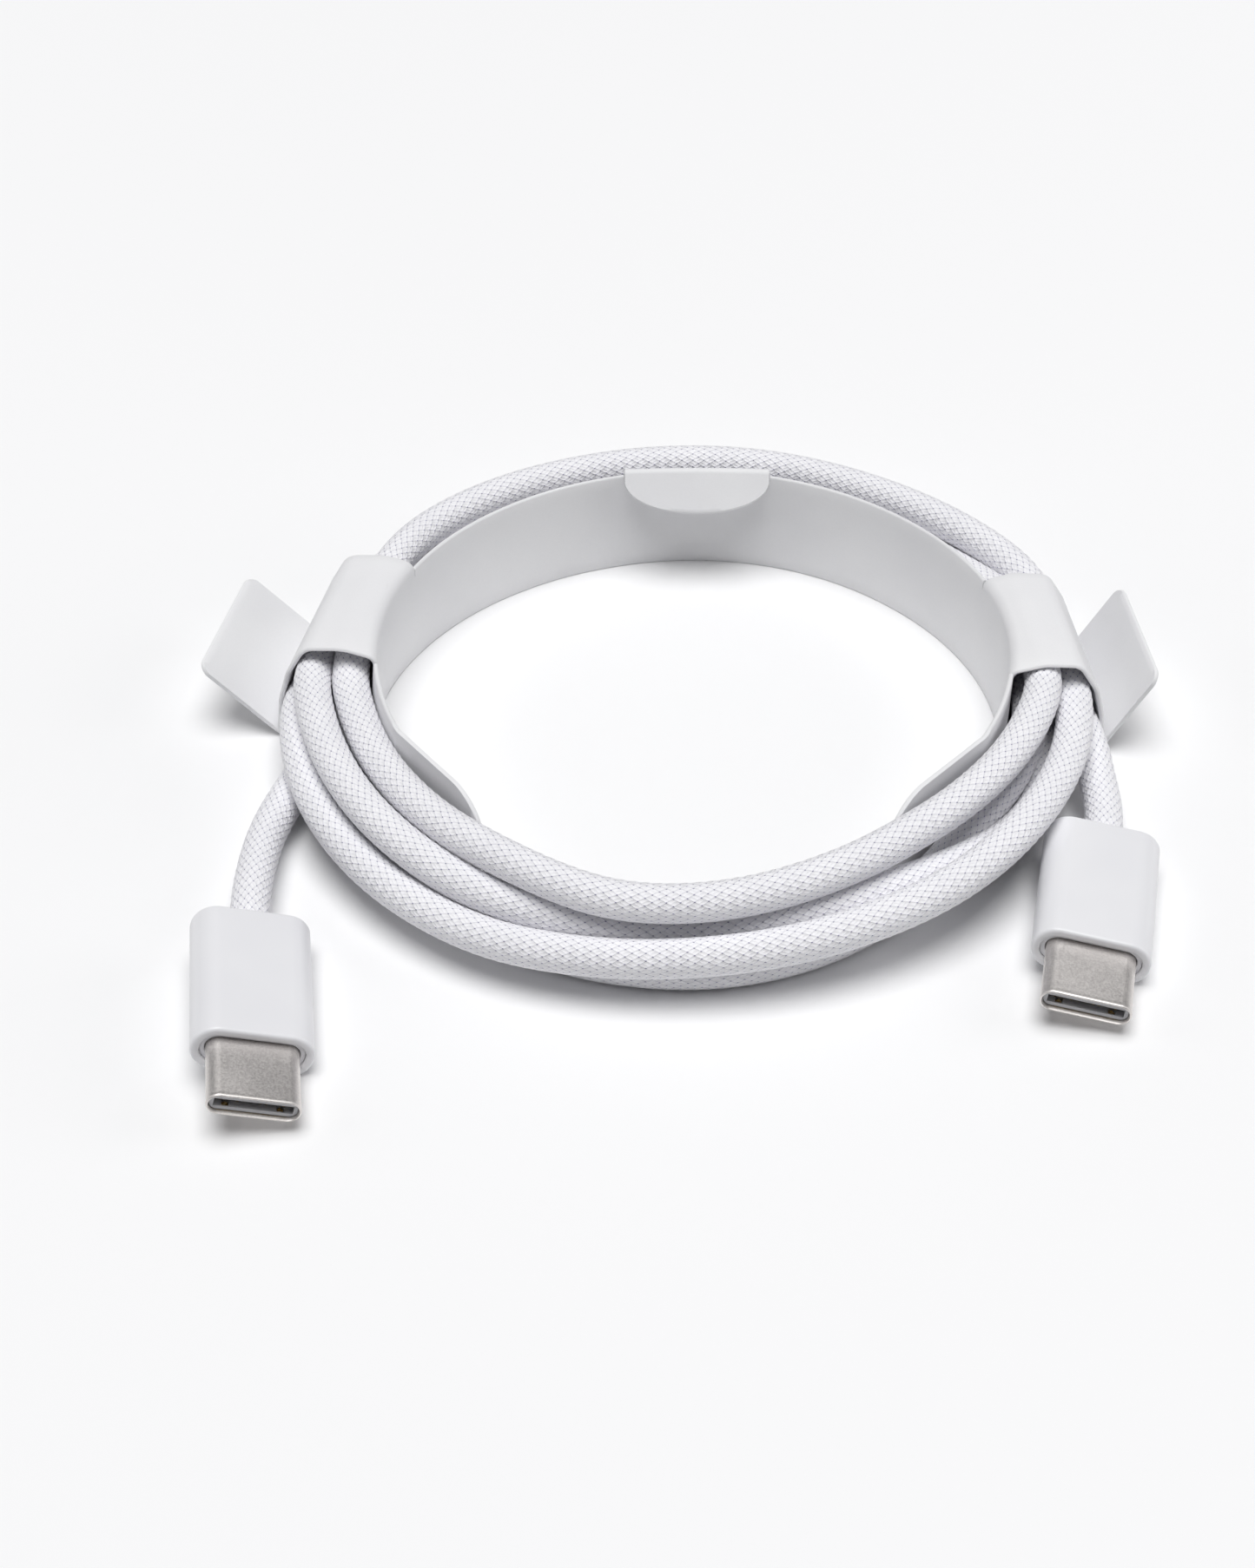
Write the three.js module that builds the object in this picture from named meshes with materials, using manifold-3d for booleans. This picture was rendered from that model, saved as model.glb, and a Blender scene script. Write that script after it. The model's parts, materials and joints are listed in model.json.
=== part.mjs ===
// A one-metre charging cable with a plug at each end, coiled flat and held by a die-cut card wrap.
// Millimetres, +Z up. The cable leaves the coil towards -Y, where both plugs lie on the table.
//
// The wrap is one upright band inside the coil. On each side a cuff runs from the band over the
// turns and down their outside, and ends in a pull tab. A small tab folds in at the back, and the
// band's two ends turn inwards as tongues. Every crease of the card is a hinge.

import * as THREE from 'three';
import { mergeVertices } from 'three/addons/utils/BufferGeometryUtils.js';
import Module from 'manifold-3d';

// ---- driving dimensions ------------------------------------------------------------------------

const CABLE_D = 3.6;

// The coil's envelope: every turn lies inside this ring.
const COIL_INNER_R = 30.6;
const COIL_OUTER_R = 37.9;
const COIL_BOTTOM_Z = 0.75;
const COIL_TOP_Z = 10.75;
const COIL_EDGE_R = 2.6;

// Card wrap.
const CARD_T = 0.45;
const BAND_R = 30.07;
const BAND_H = 10.9;
const BAND_LEFT_END = 201;
const BAND_RIGHT_END = -22;
const CUFF_LEFT = { azimuth: 168, width: 15.4, tabRiseDeg: 42, tabLength: 8.75 };
const CUFF_RIGHT = { azimuth: 8, width: 14.8, tabRiseDeg: 58.5, tabLength: 8.65 };
const CREASE_GAP = 0.35;
const TAB_CREASE = { radius: 40.6, z: 1.5 };
const TAB_CORNER_R = 1.3;
const TONGUE = { length: 15, foot: 0.3, top: 10.7, turnInDeg: 17 };
const REAR_TAB = { width: 15, length: 4.8, y: 28.75, z: 11.1, fromVerticalDeg: 40 };

// Plug, in its own frame: the lip of the steel shell at y = 0, the cable leaving towards +Y.
const SHELL = { width: 8.25, height: 2.4, length: 10.5, wall: 0.25, lipR: 0.1 };
const HOUSING = { width: 10.85, height: 5, front: 6.5, rear: 22.35, wall: 0.78, rearWall: 1.2 };
const CABLE_HOLE_D = 3.96;
const BEZEL = { front: 6.85, rear: 7.9, clearance: 0.06 };
const CARRIER = { width: 7.64, height: 1.58, front: 0.35, rear: 8.6 };
const MOUTH = { width: 6.9, height: 0.86, depth: 5.4 };
const CHANNEL = { width: 0.34, front: 1.1, bottom: 0.3, top: 0.7 };
const CONTACT = { pitch: 0.5, width: 0.22, thick: 0.13 };
const CONTACT_BEAM = [[1.3, 0.6], [2, 0.42], [2.5, 0.42], [4.4, 0.52], [10.8, 0.52]];
const SPRING = { halfWidth: 3.05, z: 0.84, thick: 0.08, front: 0.48, rear: 4.2 };
const BUMP = { x: 2.38, y: 0.8, reach: 0.42, rootR: 0.28, tipR: 0.16, window: 0.64 };
const LATCH = { thick: 0.15, outerX: 3.62, armW: 0.32, front: 1.3, rear: 8.8, bridge: 6.5, hook: 0.22 };
const LATCH_SLOT = { gap: 0.06, armRoom: 0.6 };
const BOARD = { width: 7.6, thick: 0.8, front: 8.95, rear: 14.4 };
const CHIP = { size: 2.2, height: 0.7, y: 12.6, solder: 0.04 };
const CAN = { width: 8.95, height: 3.05, wall: 0.14, front: 8.2, rear: 15.2 };
const FERRULE = { outerD: 3.2, innerD: 2.7, front: 15.5, rear: 18.3 };
const RELIEF = { width: 8.8, height: 3, front: 18.6, rear: 20.6, boreD: 2.9 };

// Contacts that a USB 2.0 cable's plug holds: the pin's place counts from the plug's left side.
const UPPER_CONTACTS = { a1: 0, a4: 3, a5: 4, a6: 5, a7: 6, a9: 8, a12: 11 };
const LOWER_CONTACTS = { b12: 0, b9: 3, b5: 7, b4: 8, b1: 11 };

// Where the plugs lie: the lip's centre, the turn about Z and the roll about the plug's own axis.
const PLUG_LEFT = { lip: [-36.7, -52.6], z: 3.36, yawDeg: 7.05, rollDeg: 17 };
const PLUG_RIGHT = { lip: [35.1, -40.17], z: 2.91, yawDeg: -9.7, rollDeg: 8 };

// The two free ends of the cable, from the coil to the plug.
const TAIL_LEFT = [
  [-38.95, -11.2, 2.6],
  [-39.3, -14.8, 2.6],
  [-39.7, -19.5, 2.75],
  [-39.85, -23.5, 3.05],
  [-39.8, -27, 3.28],
  [-39.48, -30.35, 3.36],
];
const TAIL_RIGHT = [
  [39.35, -9.8, 2.75],
  [39.48, -12, 2.83],
  [39.42, -14.7, 2.9],
  [38.89, -17.95, 2.91],
];

// ---- finishes ----------------------------------------------------------------------------------

const finish = (color, roughness, metalness = 0) =>
  new THREE.MeshStandardMaterial({ color, roughness, metalness });

const BRAID = finish('#ecebf1', 0.85);
const CARD = finish('#ededef', 0.75);
const WHITE_PLASTIC = finish('#e9e9ee', 0.35);
const BEZEL_PLASTIC = finish('#f2f2f4', 0.45);
const STEEL = finish('#a9a5a1', 0.35, 1);
const BLACK_PLASTIC = finish('#3b3c40', 0.5);
const GOLD = finish('#e3a94d', 0.3, 1);
const SPRING_STEEL = finish('#b9b9bb', 0.3, 1);
const BOARD_GREEN = finish('#1f5a3a', 0.5);
const COPPER = finish('#c98b5c', 0.35, 1);
const RELIEF_RUBBER = finish('#d9d9dc', 0.6);

// ---- solid helpers -----------------------------------------------------------------------------

const wasm = await Module();
wasm.setup();

const rad = THREE.MathUtils.degToRad;

function toManifold(geometry) {
  const bare = geometry.clone();
  bare.deleteAttribute('normal');
  bare.deleteAttribute('uv');
  const merged = mergeVertices(bare, 1e-4);
  return new wasm.Manifold(new wasm.Mesh({
    numProp: 3,
    vertProperties: new Float32Array(merged.attributes.position.array),
    triVerts: new Uint32Array(merged.index.array),
  }));
}

function toGeometry(manifold) {
  const { vertProperties, triVerts } = manifold.getMesh();
  const geometry = new THREE.BufferGeometry();
  geometry.setAttribute('position', new THREE.BufferAttribute(new Float32Array(vertProperties), 3));
  geometry.setIndex(new THREE.BufferAttribute(new Uint32Array(triVerts), 1));
  geometry.computeVertexNormals();
  return geometry;
}

// A block between two corners.
function block(x0, x1, y0, y1, z0, z1) {
  const box = new THREE.BoxGeometry(x1 - x0, y1 - y0, z1 - z0);
  return box.translate((x0 + x1) / 2, (y0 + y1) / 2, (z0 + z1) / 2);
}

// A closed outline in the XZ plane: a rectangle with round corners, as points round the Y axis.
function ovalRing(width, height, cornerR, y, count = 32) {
  const points = [];
  for (let i = 0; i < count; i++) {
    const angle = (i + 0.5) / count * 2 * Math.PI;
    const x = Math.sign(Math.cos(angle)) * (width / 2 - cornerR) + cornerR * Math.cos(angle);
    const z = Math.sign(Math.sin(angle)) * (height / 2 - cornerR) + cornerR * Math.sin(angle);
    points.push(new THREE.Vector3(x, y, z));
  }
  return points;
}

// Skins a row of equal outlines. A hollow piece closes the row on itself, a solid one is capped.
function skin(rings, hollow) {
  const count = rings[0].length;
  const positions = rings.flat().flatMap((p) => [p.x, p.y, p.z]);
  const index = [];
  const spans = hollow ? rings.length : rings.length - 1;
  for (let r = 0; r < spans; r++) {
    const here = r * count;
    const next = ((r + 1) % rings.length) * count;
    for (let i = 0; i < count; i++) {
      const j = (i + 1) % count;
      index.push(here + i, here + j, next + i);
      index.push(here + j, next + j, next + i);
    }
  }
  if (!hollow) {
    const last = (rings.length - 1) * count;
    for (let i = 1; i < count - 1; i++) {
      index.push(0, i + 1, i);
      index.push(last, last + i, last + i + 1);
    }
  }
  const geometry = new THREE.BufferGeometry();
  geometry.setAttribute('position', new THREE.Float32BufferAttribute(positions, 3));
  geometry.setIndex(index);
  return geometry;
}

// A sleeve along Y with an oval outside and an oval bore.
function ovalSleeve(outer, inner, front, rear, count = 32) {
  return skin([
    ovalRing(outer.width, outer.height, outer.cornerR, front, count),
    ovalRing(outer.width, outer.height, outer.cornerR, rear, count),
    ovalRing(inner.width, inner.height, inner.cornerR, rear, count),
    ovalRing(inner.width, inner.height, inner.cornerR, front, count),
  ].reverse(), true);
}

const oval = (width, height, cornerR) => ({ width, height, cornerR });
const round = (diameter) => oval(diameter, diameter, diameter / 2);

function pieceMesh(name, geometry, material) {
  const mesh = new THREE.Mesh(geometry, material);
  mesh.name = name;
  return mesh;
}

// ---- plug --------------------------------------------------------------------------------------

// White outer casing: an oval tube with soft edges, open in front, with a round cable hole behind.
function housingGeometry() {
  const { width, height, front, rear, wall, rearWall } = HOUSING;
  const corner = height / 2 - 0.15;
  const inset = (d, y) => ovalRing(width - 2 * d, height - 2 * d, corner - d, y);
  const bore = (y) => ovalRing(width - 2 * wall, height - 2 * wall, corner - wall, y);
  const hole = (y) => ovalRing(CABLE_HOLE_D, CABLE_HOLE_D, CABLE_HOLE_D / 2, y);
  return skin([
    inset(0.22, front),
    inset(0.06, front + 0.08),
    inset(0, front + 0.25),
    inset(0, rear - 0.5),
    inset(0.14, rear - 0.16),
    inset(0.5, rear),
    hole(rear),
    hole(rear - rearWall),
    bore(rear - rearWall),
    bore(front),
  ].reverse(), true);
}

// Deep-drawn steel shell with a rolled lip.
function shellGeometry() {
  const { width, height, length, wall, lipR } = SHELL;
  const outside = (d, y) => ovalRing(width - 2 * d, height - 2 * d, height / 2 - d, y);
  return skin([
    outside(lipR, 0),
    outside(0, lipR),
    outside(0, length),
    outside(wall, length),
    outside(wall, lipR / 2),
    outside(wall - lipR / 3, 0),
  ].reverse(), true);
}

function pinX(place) {
  return (place - 5.5) * CONTACT.pitch;
}

// A block on one side of the middle plane, from height z0 to height z1 above or below it.
function sideBlock(x, halfWidth, y0, y1, z0, z1, side) {
  const z = [side * z0, side * z1].sort((a, b) => a - b);
  return block(x - halfWidth, x + halfWidth, y0, y1, z[0], z[1]);
}

// Black moulding in the shell: the mouth for the socket's tongue, a channel for each contact, a
// slot for the latch plate, and four windows for the ground springs' bumps.
function carrierGeometry() {
  const { width, height, front, rear } = CARRIER;
  const open = rear + 1;
  const cornerR = height / 2 - 0.02;
  const cuts = [block(-MOUTH.width / 2, MOUTH.width / 2, front - 1, MOUTH.depth,
    -MOUTH.height / 2, MOUTH.height / 2)];
  for (const [row, side] of [[UPPER_CONTACTS, 1], [LOWER_CONTACTS, -1]]) {
    for (const place of Object.values(row)) {
      cuts.push(sideBlock(pinX(place), CHANNEL.width / 2, CHANNEL.front, open,
        CHANNEL.bottom, CHANNEL.top, side));
    }
    for (const x of [-BUMP.x, BUMP.x]) {
      const half = BUMP.window / 2;
      cuts.push(sideBlock(x, half, BUMP.y - half, BUMP.y + half, CHANNEL.bottom, height, side));
    }
  }
  const slotX = LATCH.outerX + LATCH_SLOT.gap;
  const slotZ = LATCH.thick / 2 + LATCH_SLOT.gap;
  const armHalf = (LATCH_SLOT.armRoom + LATCH_SLOT.gap) / 2;
  cuts.push(block(-slotX, slotX, LATCH.bridge - LATCH_SLOT.gap, open, -slotZ, slotZ));
  for (const x of [armHalf - slotX, slotX - armHalf]) {
    cuts.push(block(x - armHalf, x + armHalf, LATCH.front - 0.2, open, -slotZ, slotZ));
  }
  let solid = toManifold(skin([
    ovalRing(width, height, cornerR, rear),
    ovalRing(width, height, cornerR, front),
  ], false));
  for (const cut of cuts) {
    solid = solid.subtract(toManifold(cut));
  }
  return toGeometry(solid);
}

// One contact: a beam with a bump at its tip, and a tail that lies on the circuit board.
function contactGeometry(place, side) {
  const half = CONTACT.thick / 2;
  const outline = [
    ...CONTACT_BEAM.map(([y, z]) => new THREE.Vector2(y, z - half)),
    ...CONTACT_BEAM.toReversed().map(([y, z]) => new THREE.Vector2(y, z + half)),
  ];
  const strip = new THREE.ExtrudeGeometry(new THREE.Shape(outline), {
    depth: CONTACT.width,
    bevelEnabled: false,
  });
  // The extrusion's (x, y, z) become the plug's (y, z, x).
  strip.applyMatrix4(new THREE.Matrix4().makeBasis(
    new THREE.Vector3(0, 1, 0), new THREE.Vector3(0, 0, 1), new THREE.Vector3(1, 0, 0)));
  strip.translate(-CONTACT.width / 2, 0, 0);
  if (side < 0) {
    strip.rotateY(Math.PI);
  }
  return strip.translate(pinX(place), 0, 0);
}

// A gold-plated ground spring: a leaf against the shell with two bumps that reach into the mouth.
function springGeometry(side) {
  const { halfWidth, z, thick, front, rear } = SPRING;
  let solid = toManifold(block(-halfWidth, halfWidth, front, rear, z, z + thick));
  for (const x of [-BUMP.x, BUMP.x]) {
    const bump = new THREE.CylinderGeometry(BUMP.rootR, BUMP.tipR, BUMP.reach, 12);
    bump.rotateX(Math.PI / 2).translate(x, BUMP.y, z + (thick - BUMP.reach) / 2);
    solid = solid.add(toManifold(bump));
  }
  const geometry = toGeometry(solid);
  return side < 0 ? geometry.rotateY(Math.PI) : geometry;
}

// The latch plate: a bridge behind the mouth and two side arms with inward hooks.
function latchGeometry() {
  const { outerX, armW, front, rear, bridge, thick, hook } = LATCH;
  const inner = outerX - armW;
  const right = [[outerX, rear], [outerX, front], [inner, front], [inner - hook, front + 0.5],
    [inner, front + 1.1], [inner, bridge]];
  const outline = [...right, ...right.toReversed().map(([x, y]) => [-x, y])];
  const shape = new THREE.Shape(outline.map(([x, y]) => new THREE.Vector2(x, y)));
  const plate = new THREE.ExtrudeGeometry(shape, { depth: thick, bevelEnabled: false });
  return plate.translate(0, 0, -thick / 2);
}

function addPlug(parent, side, place) {
  const plug = new THREE.Group();
  plug.position.set(place.lip[0], place.lip[1], place.z);
  plug.rotation.set(0, rad(place.rollDeg), rad(place.yawDeg), 'ZYX');
  const add = (name, geometry, material) =>
    plug.add(pieceMesh(`${side}_${name}`, geometry, material));

  add('plug_housing', housingGeometry(), WHITE_PLASTIC);
  const bezelInner = 2 * BEZEL.clearance;
  add('plug_bezel', ovalSleeve(
    oval(HOUSING.width - 2 * HOUSING.wall - 0.12, HOUSING.height - 2 * HOUSING.wall - 0.12, 1.5),
    oval(SHELL.width + bezelInner, SHELL.height + bezelInner, SHELL.height / 2 + BEZEL.clearance),
    BEZEL.front, BEZEL.rear), BEZEL_PLASTIC);
  add('plug_shell', shellGeometry(), STEEL);
  add('contact_carrier', carrierGeometry(), BLACK_PLASTIC);
  add('upper_ground_spring', springGeometry(1), GOLD);
  add('lower_ground_spring', springGeometry(-1), GOLD);
  add('latch_plate', latchGeometry(), SPRING_STEEL);
  for (const [name, pin] of Object.entries(UPPER_CONTACTS)) {
    add(`contact_${name}`, contactGeometry(pin, 1), GOLD);
  }
  for (const [name, pin] of Object.entries(LOWER_CONTACTS)) {
    add(`contact_${name}`, contactGeometry(pin, -1), GOLD);
  }
  add('circuit_board', block(-BOARD.width / 2, BOARD.width / 2, BOARD.front, BOARD.rear,
    -BOARD.thick / 2, BOARD.thick / 2), BOARD_GREEN);
  const chipFloor = BOARD.thick / 2 + CHIP.solder;
  add('controller_chip', block(-CHIP.size / 2, CHIP.size / 2, CHIP.y - CHIP.size / 2,
    CHIP.y + CHIP.size / 2, chipFloor, chipFloor + CHIP.height), BLACK_PLASTIC);
  add('shield_can', ovalSleeve(
    oval(CAN.width, CAN.height, CAN.height / 2),
    oval(CAN.width - 2 * CAN.wall, CAN.height - 2 * CAN.wall, CAN.height / 2 - CAN.wall),
    CAN.front, CAN.rear), SPRING_STEEL);
  add('crimp_ferrule', ovalSleeve(round(FERRULE.outerD), round(FERRULE.innerD),
    FERRULE.front, FERRULE.rear, 24), COPPER);
  add('strain_relief', ovalSleeve(oval(RELIEF.width, RELIEF.height, RELIEF.height / 2),
    round(RELIEF.boreD), RELIEF.front, RELIEF.rear), RELIEF_RUBBER);
  parent.add(plug);
}

// ---- card wrap ---------------------------------------------------------------------------------

// The upright band inside the coil: an open ring of card standing on its edge.
function bandGeometry() {
  const sector = new THREE.Shape();
  const from = rad(BAND_RIGHT_END);
  const to = rad(BAND_LEFT_END);
  sector.absarc(0, 0, BAND_R + CARD_T / 2, from, to, false);
  sector.absarc(0, 0, BAND_R - CARD_T / 2, to, from, true);
  return new THREE.ExtrudeGeometry(sector, { depth: BAND_H, bevelEnabled: false, curveSegments: 44 });
}

// A cuff's section, with x as the distance from the coil's axis: from the band's top over the
// turns, down their outside with a slight lean, and back under them to the band's foot.
const CUFF_SECTION = [
  [29.3, BAND_H + 0.15], [36.55, BAND_H + 0.15], [37.5, 10.7], [38.2, 9.6], [39.6, 2.2], [39.4, 0.9],
  [38.7, CARD_T], [30.65, CARD_T], [30.65, 0], [39, 0], [39.85, 0.55], [40.1, 2.1], [38.65, 9.8],
  [37.85, 11.05], [36.65, BAND_H + 0.6], [29.3, BAND_H + 0.6],
];

function cuffGeometry({ azimuth, width }) {
  const shape = new THREE.Shape(CUFF_SECTION.map(([r, z]) => new THREE.Vector2(r, z)));
  const sleeve = new THREE.ExtrudeGeometry(shape, { depth: width, bevelEnabled: false });
  sleeve.translate(0, 0, -width / 2).rotateX(Math.PI / 2);
  return sleeve.rotateZ(rad(azimuth));
}

// A card plate in the XZ plane, growing from its crease at x = 0 along +X, its thickness along Y.
function cardPlate(outline) {
  const options = { depth: CARD_T, bevelEnabled: false, curveSegments: 10 };
  const plate = new THREE.ExtrudeGeometry(outline, options);
  return plate.translate(0, 0, -CARD_T / 2).rotateX(Math.PI / 2);
}

function pullTabGeometry({ azimuth, width, tabRiseDeg, tabLength }) {
  const cornerR = TAB_CORNER_R;
  const half = width / 2;
  const outline = new THREE.Shape();
  outline.moveTo(CREASE_GAP, -half);
  outline.lineTo(tabLength - cornerR, -half);
  outline.absarc(tabLength - cornerR, -half + cornerR, cornerR, -Math.PI / 2, 0, false);
  outline.absarc(tabLength - cornerR, half - cornerR, cornerR, 0, Math.PI / 2, false);
  outline.lineTo(CREASE_GAP, half);
  const plate = cardPlate(outline);
  plate.rotateX(-Math.PI / 2).rotateY(-rad(tabRiseDeg));
  return plate.translate(TAB_CREASE.radius, 0, TAB_CREASE.z).rotateZ(rad(azimuth));
}

// A tongue stands on its edge and ends in a half round. side is +1 at the band's left end.
function tongueGeometry(azimuth, side) {
  const { length, foot, top, turnInDeg } = TONGUE;
  const endR = (top - foot) / 2;
  const outline = new THREE.Shape();
  outline.moveTo(CREASE_GAP, foot);
  outline.lineTo(length - endR, foot);
  outline.absarc(length - endR, foot + endR, endR, -Math.PI / 2, Math.PI / 2, false);
  outline.lineTo(CREASE_GAP, top);
  const heading = azimuth + side * (90 + turnInDeg);
  const end = new THREE.Vector3(BAND_R * Math.cos(rad(azimuth)), BAND_R * Math.sin(rad(azimuth)), 0);
  return cardPlate(outline).rotateZ(rad(heading)).translate(end.x, end.y, 0);
}

// The small tab at the back: a half oval that hangs from its crease and leans into the coil.
function rearTabGeometry() {
  const { width, length, y, z, fromVerticalDeg } = REAR_TAB;
  const fullness = 0.75;
  const steps = 20;
  const points = [];
  for (let i = 0; i <= steps; i++) {
    const angle = (i / steps - 0.5) * Math.PI;
    const drop = (length - CREASE_GAP) * Math.max(Math.cos(angle), 0) ** fullness;
    points.push(new THREE.Vector2(CREASE_GAP + drop, width / 2 * Math.sin(angle)));
  }
  const plate = cardPlate(new THREE.Shape(points));
  plate.rotateX(-Math.PI / 2).rotateY(rad(90 - fromVerticalDeg)).rotateZ(-Math.PI / 2);
  return plate.translate(0, y, z);
}

function addWrap(parent) {
  const add = (name, geometry) => parent.add(pieceMesh(name, geometry, CARD));
  add('inner_band', bandGeometry());
  add('left_cuff', cuffGeometry(CUFF_LEFT));
  add('right_cuff', cuffGeometry(CUFF_RIGHT));
  add('left_pull_tab', pullTabGeometry(CUFF_LEFT));
  add('right_pull_tab', pullTabGeometry(CUFF_RIGHT));
  add('left_band_tongue', tongueGeometry(BAND_LEFT_END, 1));
  add('right_band_tongue', tongueGeometry(BAND_RIGHT_END, -1));
  add('rear_tab', rearTabGeometry());
}

// ---- cable -------------------------------------------------------------------------------------

// The outer shape of all the turns together: a ring with rounded edges.
function coilGeometry() {
  const r = COIL_EDGE_R;
  const corners = [
    [COIL_OUTER_R - r, COIL_BOTTOM_Z + r, -90],
    [COIL_OUTER_R - r, COIL_TOP_Z - r, 0],
    [COIL_INNER_R + r, COIL_TOP_Z - r, 90],
    [COIL_INNER_R + r, COIL_BOTTOM_Z + r, 180],
  ];
  const profile = [];
  for (const [x, z, from] of corners) {
    for (let step = 0; step <= 3; step++) {
      const angle = rad(from + step * 30);
      profile.push(new THREE.Vector2(x + r * Math.cos(angle), z + r * Math.sin(angle)));
    }
  }
  profile.push(profile[0].clone());
  return new THREE.LatheGeometry(profile, 72).rotateX(Math.PI / 2);
}

function tailGeometry(points, steps) {
  const route = new THREE.CatmullRomCurve3(points.map((p) => new THREE.Vector3(...p)));
  const sides = 8;
  const corners = [];
  for (let i = 0; i < sides; i++) {
    const angle = (i + 0.5) / sides * 2 * Math.PI;
    corners.push(new THREE.Vector2(CABLE_D / 2 * Math.cos(angle), CABLE_D / 2 * Math.sin(angle)));
  }
  const section = new THREE.Shape(corners);
  return new THREE.ExtrudeGeometry(section, { steps, extrudePath: route, bevelEnabled: false });
}

function addCable(parent) {
  parent.add(pieceMesh('cable_coil', coilGeometry(), BRAID));
  parent.add(pieceMesh('left_cable_tail', tailGeometry(TAIL_LEFT, 6), BRAID));
  parent.add(pieceMesh('right_cable_tail', tailGeometry(TAIL_RIGHT, 4), BRAID));
}

// ---- assembly ----------------------------------------------------------------------------------

// Plugs and wrap are one group, because the origin is under the middle of what they span.
const hardware = new THREE.Group();
addPlug(hardware, 'left', PLUG_LEFT);
addPlug(hardware, 'right', PLUG_RIGHT);
addWrap(hardware);

const cable = new THREE.Group();
addCable(cable);

const span = new THREE.Box3().setFromObject(hardware, true);
const group = new THREE.Group();
group.add(hardware, cable);
group.position.set(-(span.min.x + span.max.x) / 2, -(span.min.y + span.max.y) / 2, -span.min.z);

export default group;
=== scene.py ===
"""Looks for a coiled braided charging cable in a folded card wrap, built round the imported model.

Lengths are in millimetres from the coil's centre on the table until mm() turns them into the
frame's metres. Azimuth 0 is +X, and the plugs lie towards azimuth -90.
"""

import json
import math

import bmesh
import bpy
import numpy as np
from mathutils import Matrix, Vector


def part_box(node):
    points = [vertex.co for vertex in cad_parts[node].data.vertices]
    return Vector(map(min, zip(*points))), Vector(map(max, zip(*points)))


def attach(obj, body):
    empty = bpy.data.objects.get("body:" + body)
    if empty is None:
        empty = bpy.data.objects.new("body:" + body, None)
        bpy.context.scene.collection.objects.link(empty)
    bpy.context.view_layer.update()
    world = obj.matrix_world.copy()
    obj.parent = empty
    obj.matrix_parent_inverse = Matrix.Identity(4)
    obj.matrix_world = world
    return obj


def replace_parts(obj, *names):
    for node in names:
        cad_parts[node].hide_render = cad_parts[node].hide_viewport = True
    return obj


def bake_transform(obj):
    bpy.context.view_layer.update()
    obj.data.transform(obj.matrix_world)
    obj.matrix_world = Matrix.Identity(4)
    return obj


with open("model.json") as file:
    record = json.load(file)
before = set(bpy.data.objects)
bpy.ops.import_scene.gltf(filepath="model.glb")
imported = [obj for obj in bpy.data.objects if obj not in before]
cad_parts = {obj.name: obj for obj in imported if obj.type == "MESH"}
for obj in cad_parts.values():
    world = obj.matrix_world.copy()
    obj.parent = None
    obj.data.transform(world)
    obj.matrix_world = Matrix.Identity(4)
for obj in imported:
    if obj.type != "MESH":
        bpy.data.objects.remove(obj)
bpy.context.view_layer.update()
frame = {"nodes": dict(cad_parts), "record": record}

# ---- driving dimensions, in mm ------------------------------------------------------------------

CABLE_D = 3.6
CARD_T = 0.45
BAND_H = 10.9
BAND_ENDS = (-22, 201)
# The band's mid-surface as it stands in the photo: (azimuth, radius at its foot, radius at its top).
BAND_PLAN = [
    (-24, 30.3, 30.4), (-12, 30.8, 30.9), (0, 31, 31.5), (12, 31, 31.9), (26, 30.8, 31.9),
    (44, 30.4, 31.4), (66, 30.2, 31), (90, 29.9, 30.7), (106, 29.7, 30.5), (126, 29.9, 30.5),
    (150, 30.6, 30.6), (166, 31.1, 30.3), (180, 31.1, 30), (190, 30.6, 29.6), (203, 29.7, 29.3),
]
# Where the band's top turns into a cuff or the rear tab.
SEAM_Z = 10
# Each cuff's mid-surface after the seam: (distance from the axis, height, bend radius).
CUFFS = {
    "left": {
        "azimuth": 168, "width": 15.4, "fold": (11.45, 0.95),
        "over": [(32.2, 12.05, 6), (36.1, 11.45, 2), (37.95, 8.2, 4), (38.95, 4.8, 7)],
        "foot": (39.42, 0.72), "under": (39.19, 2.4),
    },
    "right": {
        "azimuth": 8, "width": 14.8, "fold": (10.95, 0.95),
        "over": [(33.7, 11.5, 4), (37.2, 11.0, 1.8), (39.05, 7.8, 4), (39.8, 4.6, 5)],
        "foot": (39.93, 0.9), "under": (39.82, 1.3),
    },
}
TAB_CREASE = (40.6, 1.5)
# The strap below the turns: where it starts and its mid-surface's height.
STRAP_FROM = (31.9, 0.23)
# A pull tab has close rows this far to both sides of its crease, and the ends of a blend are worked out
# within them.
BEND_HALF = 0.6
BLEND_HALF = 0.5
# At a cut edge the card keeps this share of its thickness and bulges out this far.
EDGE_SHARE = 0.7
EDGE_BULGE = 0.07
PULL_TABS = {
    "left": {"length": 8.75, "corner": 1.3, "rise": 42},
    "right": {"length": 8.65, "corner": 1.3, "rise": 58.5},
}
TONGUE = {"length": 15.0, "foot": 0.3, "top": 10.7, "bend": 1.1}
TONGUE_TURN = {"left": 17, "right": 20}
REAR_TAB = {"middle": 1.1, "width": 15.0, "length": 4.2, "y": 30.1, "z": 11.65, "from_vertical": 40}

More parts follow.
